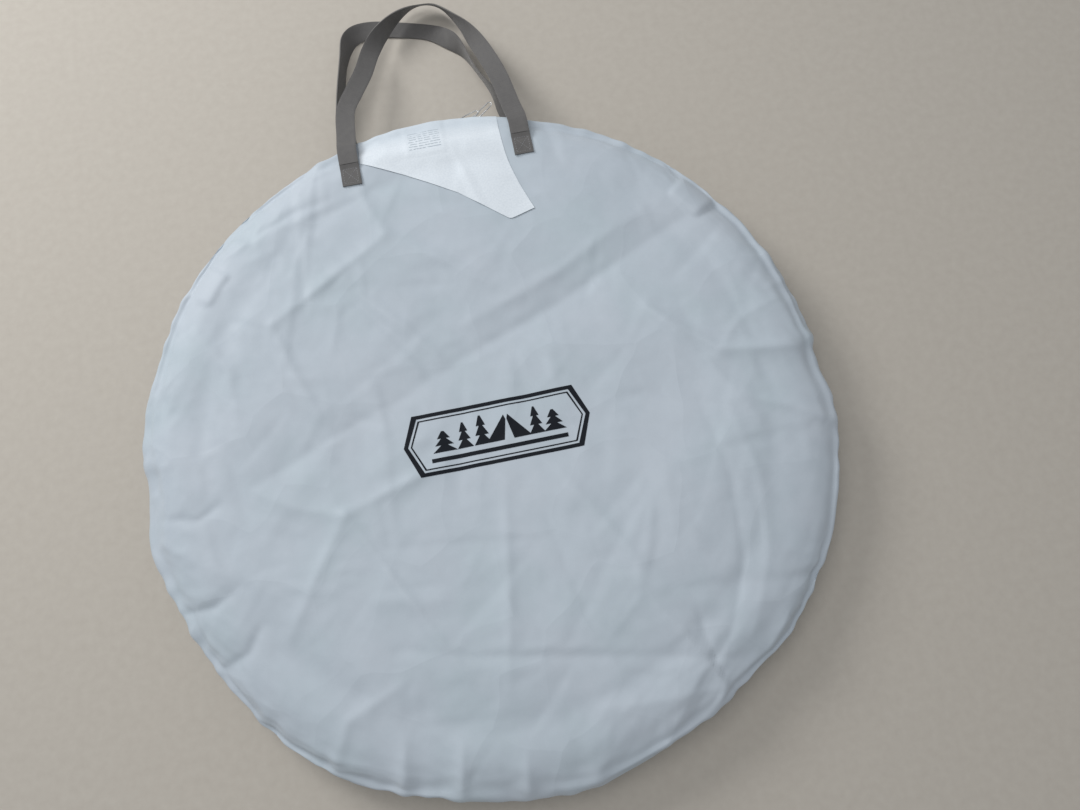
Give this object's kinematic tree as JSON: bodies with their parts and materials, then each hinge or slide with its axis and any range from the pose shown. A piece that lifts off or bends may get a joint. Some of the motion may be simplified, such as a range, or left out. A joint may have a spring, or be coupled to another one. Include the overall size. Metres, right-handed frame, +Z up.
{
  "type": "packed pop-up shelter in a round carry bag",
  "caption": "Pop-up ground shelter folded flat in a thin round zipped carry bag, with webbing handles, hang label and coiled spring hoops inside.",
  "frame": {"origin": "centre of the bag's flat underside, on the ground", "axes": "+Z up through the bag, +Y towards the two carry handles, +X to the right seen from above"},
  "size_m": [0.8524, 1.0595, 0.0809],
  "materials": {
    "panel_cloth": "coated woven polyester, pale blue-grey",
    "seam_binding": "folded woven tape, pale grey",
    "zip_tape": "woven tape, grey",
    "zip_coil": "moulded nylon coil, dark grey",
    "slider_metal": "enamelled die casting, dark grey",
    "pull_metal": "bright nickel-plated wire",
    "webbing": "woven polypropylene webbing, dark grey",
    "label_cloth": "thin coated white cloth",
    "care_label": "printed satin tape, white",
    "hoop_rod": "pultruded glass-fibre rod, dark",
    "ferrule": "drawn steel tube",
    "shelter_cloth": "folded coated polyester, blue-grey",
    "floor_cloth": "folded woven polyethylene, dark grey",
    "elastic_band": "knitted elastic, black",
    "pouch_cloth": "coated woven polyester",
    "peg_steel": "zinc-plated wire"
  },
  "bodies": {
    "bag": {"back_panel": "panel_cloth", "front_panel_fixed": "panel_cloth", "edge_seam_binding": "seam_binding", "mouth_seam_binding": "seam_binding", "zip_tape_mouth": "zip_tape", "zip_coil_mouth": "zip_coil", "zip_stop_left": "zip_coil", "zip_stop_right": "zip_coil", "zip_end_tab_left": "panel_cloth", "zip_end_tab_right": "panel_cloth", "back_strap_end_left": "webbing", "back_strap_end_right": "webbing", "spring_hoop_lower": "hoop_rod", "spring_hoop_upper": "hoop_rod", "spring_hoop_ferrule_lower": "ferrule", "spring_hoop_ferrule_upper": "ferrule", "folded_floor_skirt": "floor_cloth", "folded_walls": "shelter_cloth", "folded_roof": "shelter_cloth", "retaining_band_left": "elastic_band", "retaining_band_right": "elastic_band", "peg_pouch": "pouch_cloth", "ground_peg_1": "peg_steel", "ground_peg_2": "peg_steel", "ground_peg_3": "peg_steel", "ground_peg_4": "peg_steel"},
    "flap": {"front_panel_flap": "panel_cloth", "flap_seam_binding": "seam_binding", "zip_tape_flap": "zip_tape", "zip_coil_flap": "zip_coil", "front_strap_end_left": "webbing", "front_strap_end_right": "webbing"},
    "slider_left": {"zip_slider_left": "slider_metal"},
    "slider_right": {"zip_slider_right": "slider_metal"},
    "pull_left": {"pull_tab_left": "pull_metal"},
    "pull_right": {"pull_tab_right": "pull_metal"},
    "front_handle": {"front_handle": "webbing"},
    "back_handle": {"back_handle": "webbing"},
    "label": {"hang_label": "label_cloth", "care_label": "care_label"}
  },
  "joints": [
    {"name": "zip_slider_left", "type": "hinge", "parent": "bag", "child": "slider_left", "pos_m": [0, 0, 0.038], "axis": [0, 0, 1], "range_deg": [0, 87]},
    {"name": "zip_slider_right", "type": "hinge", "parent": "bag", "child": "slider_right", "pos_m": [0, 0, 0.038], "axis": [0, 0, 1], "range_deg": [-75.5, 0]},
    {"name": "front_flap_open", "type": "hinge", "parent": "bag", "child": "flap", "pos_m": [0, 0.04, 0.078], "axis": [1, 0, 0], "range_deg": [0, 110.5]},
    {"name": "pull_left", "type": "hinge", "parent": "slider_left", "child": "pull_left", "pos_m": [0.03407, 0.42812, 0.038], "axis": [0, 0, 1], "range_deg": [0, 130]},
    {"name": "pull_right", "type": "hinge", "parent": "slider_right", "child": "pull_right", "pos_m": [0.05569, 0.42585, 0.038], "axis": [0, 0, 1], "range_deg": [-42, 0]},
    {"name": "front_handle", "type": "hinge", "parent": "flap", "child": "front_handle", "pos_m": [0, 0.37552, 0.07758], "axis": [1, 0, 0], "range_deg": [0, 135]},
    {"name": "back_handle", "type": "hinge", "parent": "bag", "child": "back_handle", "pos_m": [0, 0.40247, 0.017], "axis": [1, 0, 0], "range_deg": [0, 50]},
    {"name": "label_lift", "type": "hinge", "parent": "flap", "child": "label", "pos_m": [0, 0.42356, 0.05505], "axis": [-1, 0, 0], "range_deg": [0, 100]}
  ],
  "couplings": [
    {"joint": "zip_slider_right", "follows": "zip_slider_left", "ratio": -0.862},
    {"joint": "front_flap_open", "follows": "zip_slider_left", "ratio": 1.264},
    {"joint": "back_handle", "follows": "front_handle", "ratio": 0.37}
  ]
}
